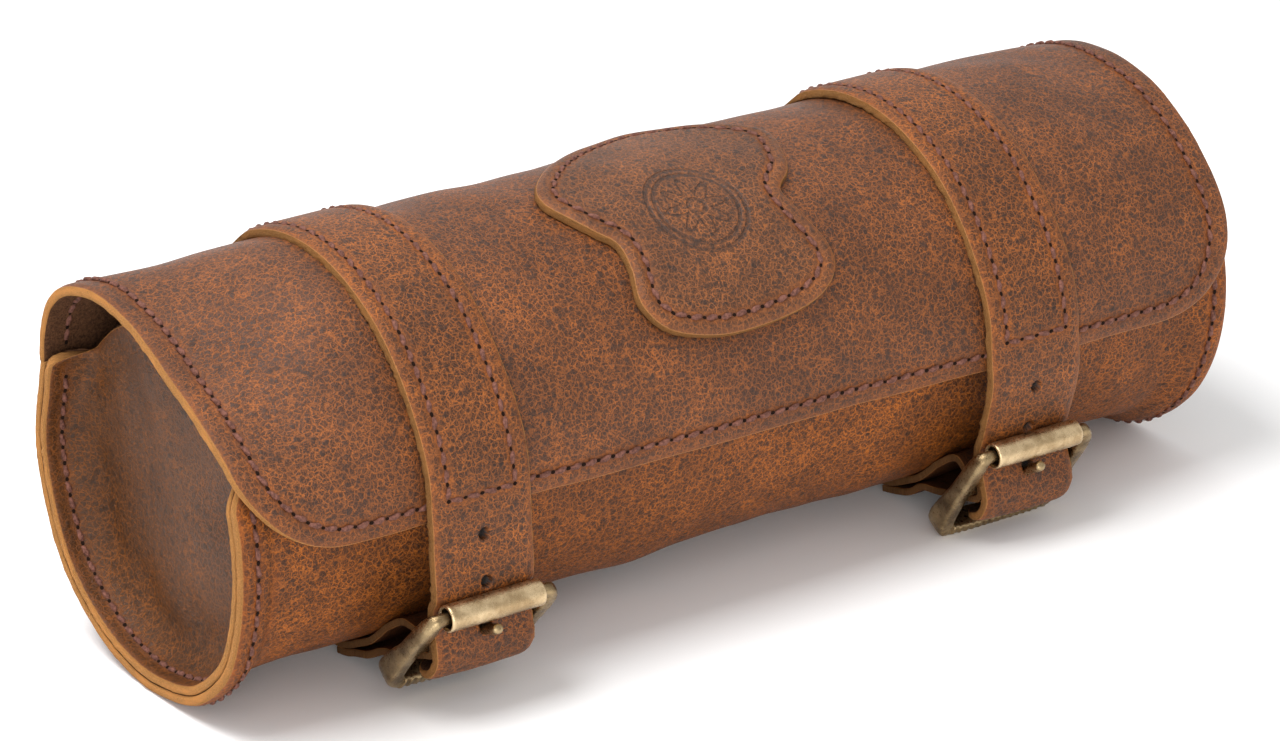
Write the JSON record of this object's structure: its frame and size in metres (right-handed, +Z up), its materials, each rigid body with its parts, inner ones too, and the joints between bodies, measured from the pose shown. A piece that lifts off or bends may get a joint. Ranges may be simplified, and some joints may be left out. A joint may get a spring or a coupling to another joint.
{
  "type": "cylindrical leather roll case",
  "caption": "Cylindrical leather roll case for cue or tool gear, with a hinged lid, sewn end gussets, an emblem patch, and straps closing in roller buckles.",
  "frame": {"origin": "on the ground below the middle of the whole object's box", "axes": "+X along the case from its left end to its right end, -Y to the front where the lid closes and the buckles are, +Z up"},
  "size_m": [0.3, 0.1157, 0.1079],
  "materials": {
    "leather": "waxed pull-up leather, satin, mottled",
    "leather_dark": "smoother waxed leather, satin",
    "thread": "waxed twisted thread",
    "brass": "antique, worn, semi-gloss"
  },
  "bodies": {
    "case": {"case_wrap": "leather", "gusset_left": "leather_dark", "gusset_right": "leather_dark", "gusset_thread_left": "thread", "gusset_thread_right": "thread", "billet_left": "leather", "billet_right": "leather", "billet_thread_left": "thread", "billet_thread_right": "thread"},
    "lid": {"lid_flap": "leather", "patch": "leather", "patch_thread": "thread", "lid_edge_thread": "thread", "strap_left": "leather", "strap_right": "leather", "strap_thread_left": "thread", "strap_thread_right": "thread"},
    "buckle_left": {"buckle_frame_left": "brass"},
    "buckle_right": {"buckle_frame_right": "brass"},
    "roller_left": {"roller_left": "brass"},
    "roller_right": {"roller_right": "brass"},
    "prong_left": {"prong_left": "brass"},
    "prong_right": {"prong_right": "brass"}
  },
  "joints": [
    {"name": "lid_hinge", "type": "hinge", "parent": "case", "child": "lid", "pos_m": [0, 0.05293, 0.07196], "axis": [-1, 0, 0], "range_deg": [0, 140], "deforming": ["strap_left", "strap_right"]},
    {"name": "buckle_swing_left", "type": "hinge", "parent": "case", "child": "buckle_left", "pos_m": [-0.089, -0.0447, 0.01815], "axis": [1, 0, 0], "range_deg": [0, 5]},
    {"name": "buckle_swing_right", "type": "hinge", "parent": "case", "child": "buckle_right", "pos_m": [0.0795, -0.04255, 0.0148], "axis": [1, 0, 0], "range_deg": [0, 5]},
    {"name": "prong_swing_left", "type": "hinge", "parent": "buckle_left", "child": "prong_left", "pos_m": [-0.089, -0.0447, 0.01815], "axis": [1, 0, 0], "range_deg": [0, 70]},
    {"name": "prong_swing_right", "type": "hinge", "parent": "buckle_right", "child": "prong_right", "pos_m": [0.0795, -0.04255, 0.0148], "axis": [1, 0, 0], "range_deg": [0, 70]},
    {"name": "roller_turn_left", "type": "hinge", "parent": "buckle_left", "child": "roller_left", "pos_m": [-0.089, -0.05431, 0.02921], "axis": [1, 0, 0], "continuous": true},
    {"name": "roller_turn_right", "type": "hinge", "parent": "buckle_right", "child": "roller_right", "pos_m": [0.0795, -0.05049, 0.02711], "axis": [1, 0, 0], "continuous": true}
  ],
  "couplings": [
    {"joint": "buckle_swing_left", "follows": "lid_hinge", "ratio": 0.035},
    {"joint": "buckle_swing_right", "follows": "lid_hinge", "ratio": 0.035}
  ]
}
